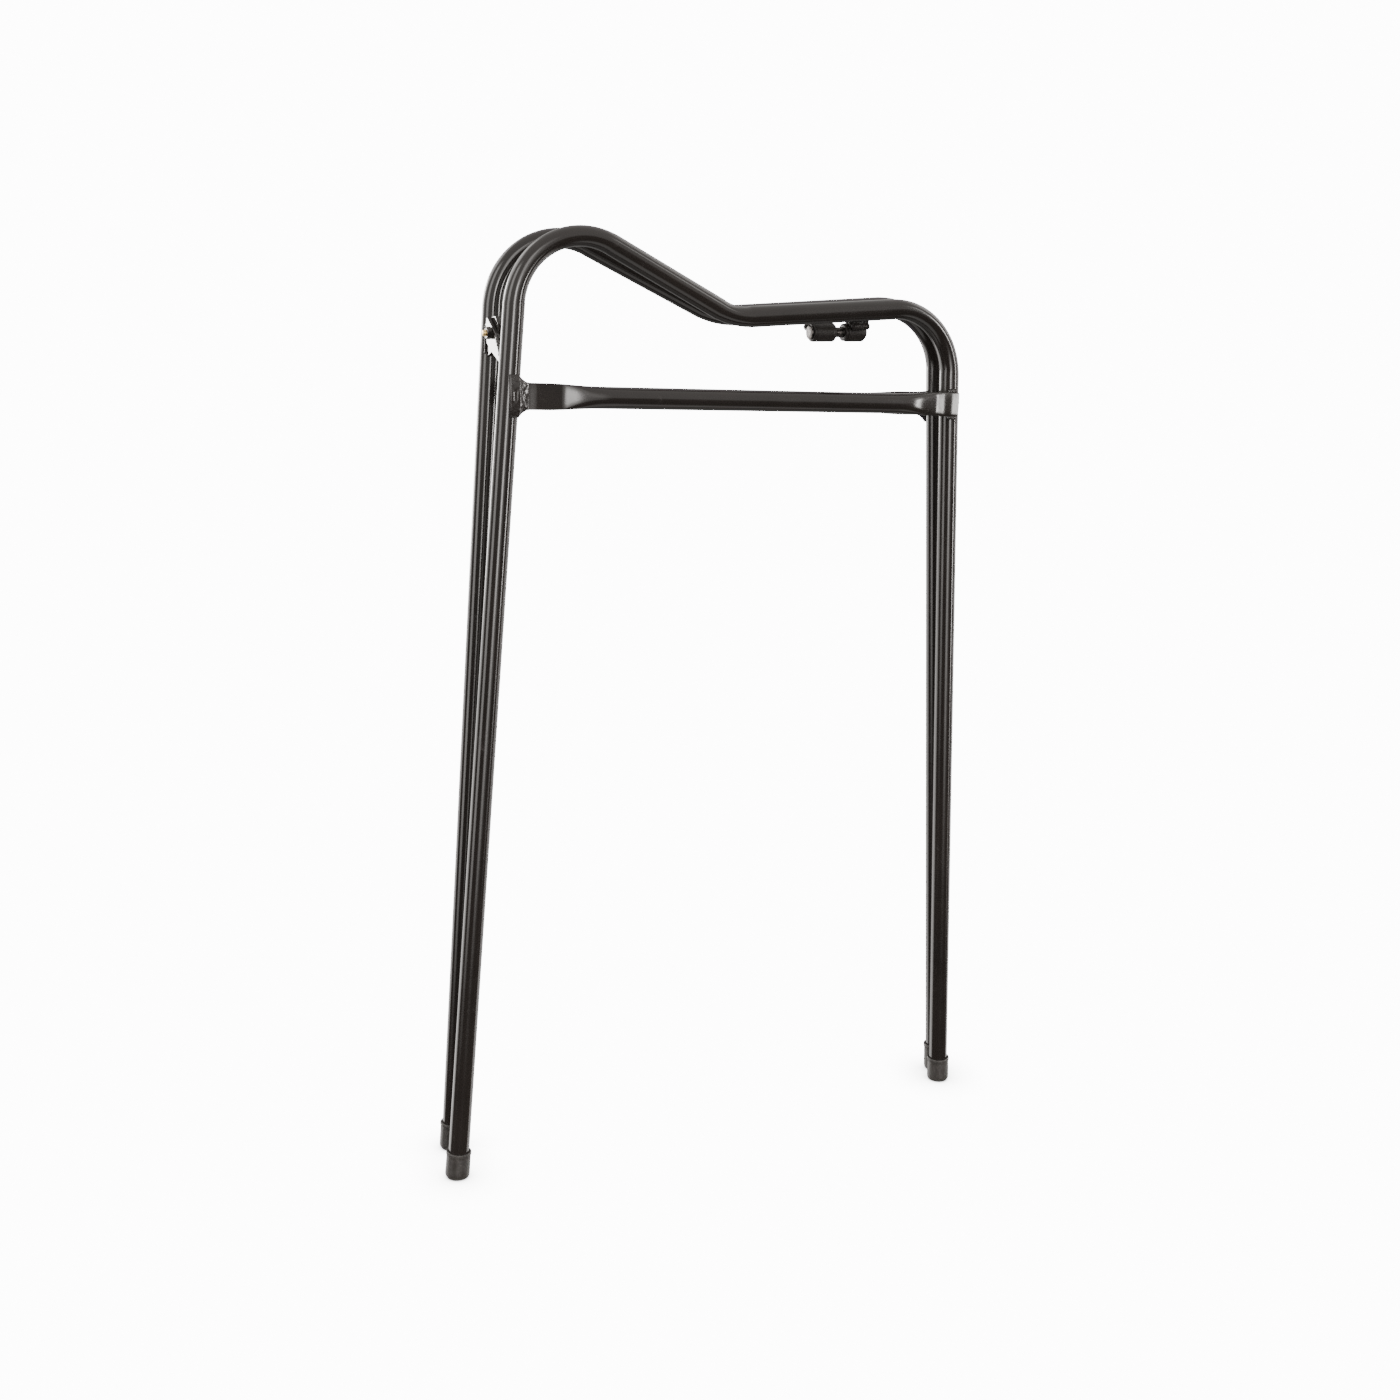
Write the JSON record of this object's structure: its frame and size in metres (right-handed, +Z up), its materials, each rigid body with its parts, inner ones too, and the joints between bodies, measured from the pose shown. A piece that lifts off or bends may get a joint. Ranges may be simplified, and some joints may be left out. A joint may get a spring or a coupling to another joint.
{
  "type": "folding saddle stand",
  "caption": "Folding saddle stand of bent round tube: hinged frames with a saddle-shaped top rail, flattened crossbars and rubber foot caps, stored folded.",
  "frame": {"origin": "centre of the bounding box on the floor plane, between the four feet", "axes": "+X along the stand from the hump end to the low cantle end, +Y from the front frame to the rear frame, +Z up"},
  "size_m": [0.6042, 0.1078, 0.9037],
  "materials": {
    "black_paint": "glossy black enamel with a faint orange peel",
    "painted_weld": "black enamel over a rough weld bead",
    "foot_rubber": "matte moulded black rubber",
    "yellow_zinc": "yellow passivated zinc plate",
    "dark_steel": "dark oxide with paint overspray",
    "bright_zinc": "bright zinc plate"
  },
  "bodies": {
    "front_frame": {"front_frame_tube": "black_paint", "front_crossbar": "black_paint", "front_hinge_plate": "black_paint", "front_hinge_sleeve": "black_paint", "left_hinge_bolt": "yellow_zinc", "left_hinge_nut": "dark_steel", "left_head_washer": "bright_zinc", "right_hinge_pin": "dark_steel", "right_pin_washer": "black_paint", "front_left_foot_cap": "foot_rubber", "front_right_foot_cap": "foot_rubber", "front_bar_left_weld": "painted_weld", "front_bar_right_weld": "painted_weld", "front_plate_weld": "painted_weld", "front_sleeve_weld": "painted_weld"},
    "rear_frame": {"rear_frame_tube": "black_paint", "rear_crossbar": "black_paint", "rear_hinge_plate": "black_paint", "rear_hinge_sleeve": "black_paint", "rear_left_foot_cap": "foot_rubber", "rear_right_foot_cap": "foot_rubber", "rear_bar_left_weld": "painted_weld", "rear_bar_right_weld": "painted_weld", "rear_plate_weld": "painted_weld", "rear_sleeve_weld": "painted_weld"}
  },
  "joints": [
    {"name": "fold_hinge", "type": "hinge", "parent": "front_frame", "child": "rear_frame", "pos_m": [-0.2531, 0, 0.8048], "axis": [0.9993, 0, 0.0363], "range_deg": [0, 28]}
  ]
}
